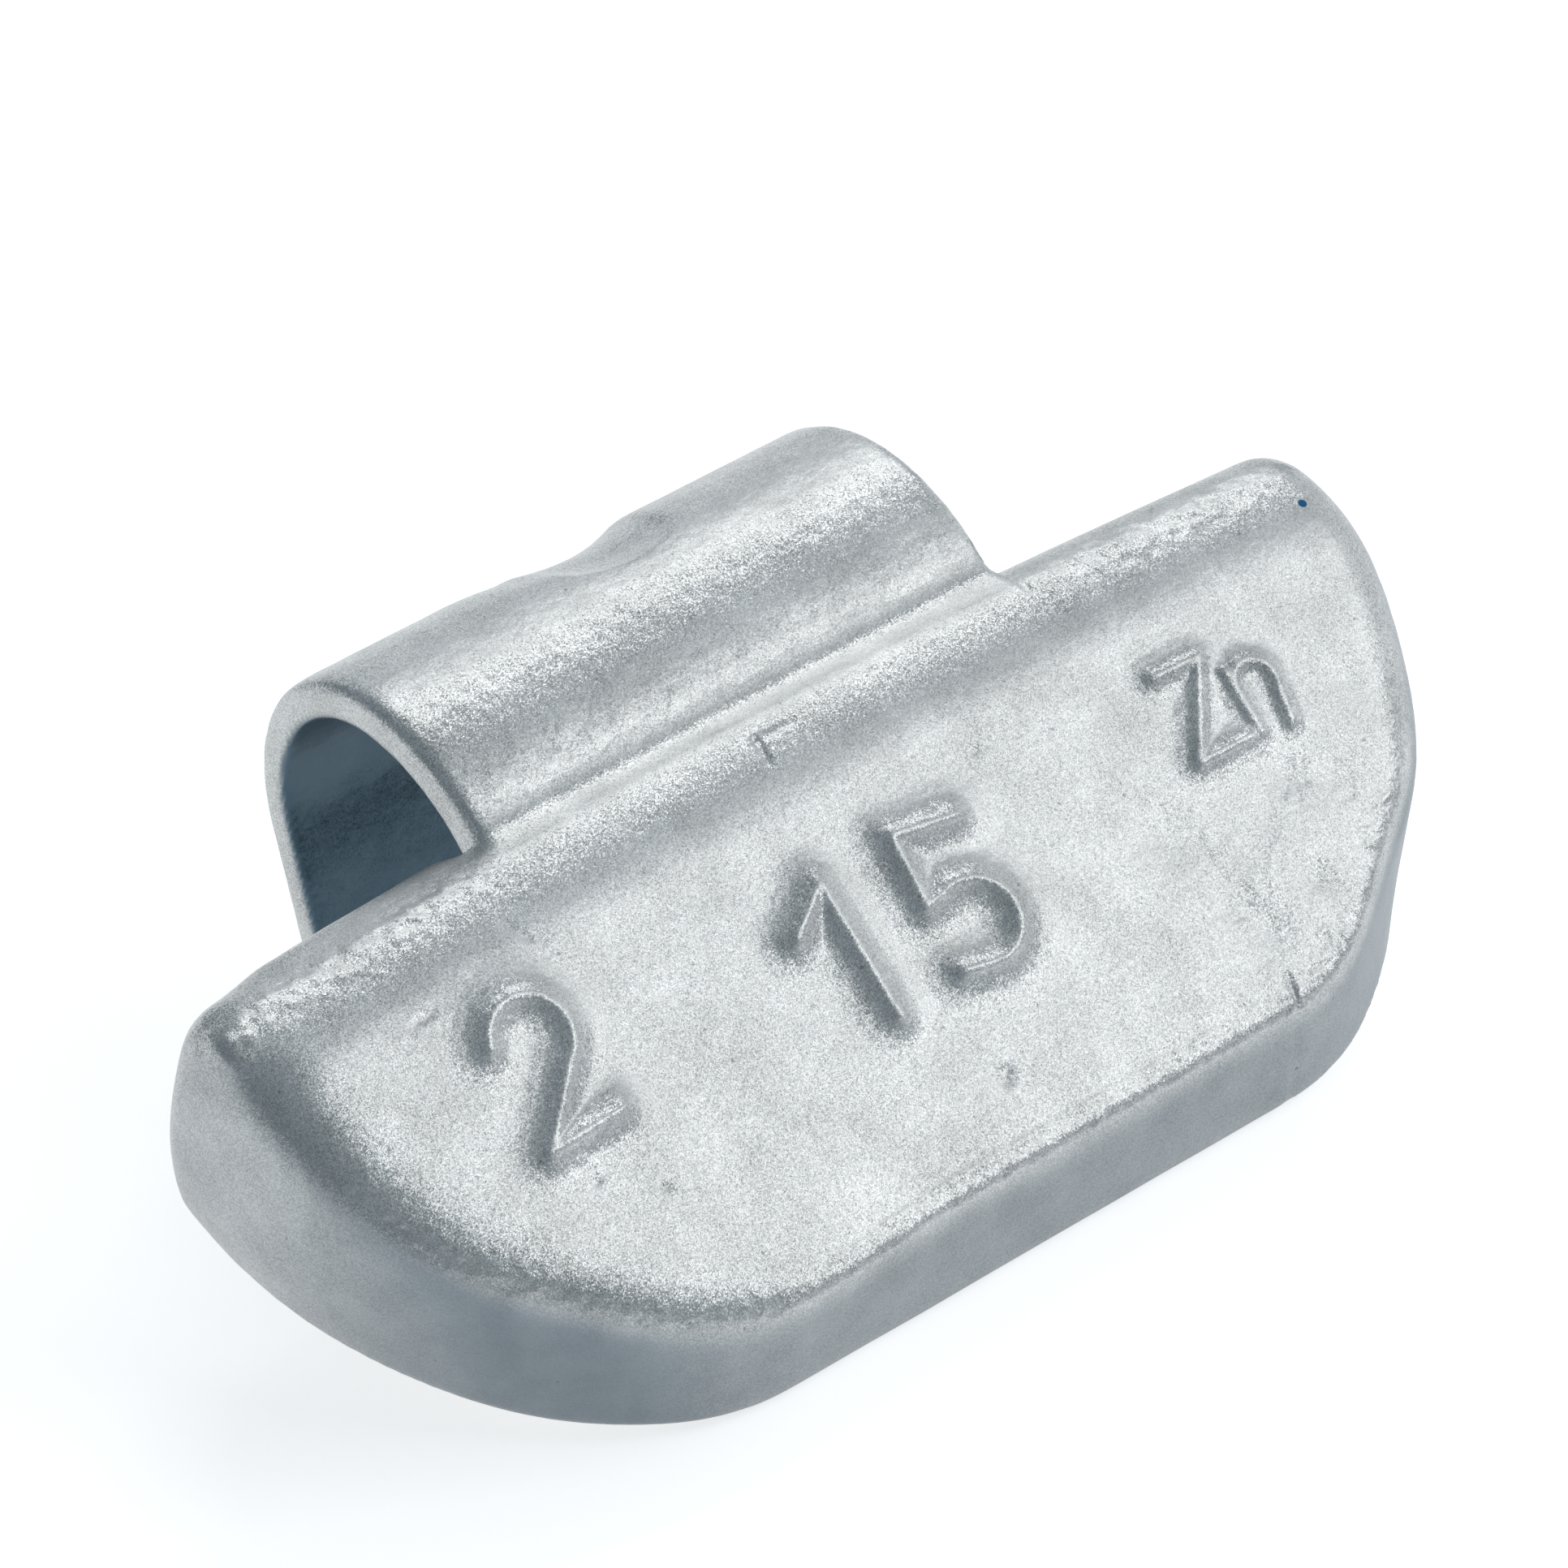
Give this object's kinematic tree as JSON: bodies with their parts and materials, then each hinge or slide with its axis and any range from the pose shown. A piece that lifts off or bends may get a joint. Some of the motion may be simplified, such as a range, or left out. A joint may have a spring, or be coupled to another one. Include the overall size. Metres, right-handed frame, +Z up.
{
  "type": "wheel balance weight",
  "caption": "Clip-on wheel balance weight: wedge-shaped cast zinc body with rounded ends, and a spring-steel hook cast into its lip that grips a rim flange.",
  "frame": {"origin": "centre of the bottom of the weight's box, on the table that it lies on", "axes": "+X along the rim, +Y from the straight bottom edge to the clip, +Z up; the weight lies face up on its lower back edge and the clip's tip"},
  "size_m": [0.0312, 0.019, 0.0119],
  "materials": {
    "painted_zinc": "fine metallic silver paint, satin",
    "painted_steel": "fine metallic silver paint, satin, slight orange peel"
  },
  "bodies": {
    "root": {"weight_body": "painted_zinc", "spring_clip": "painted_steel"}
  },
  "joints": []
}
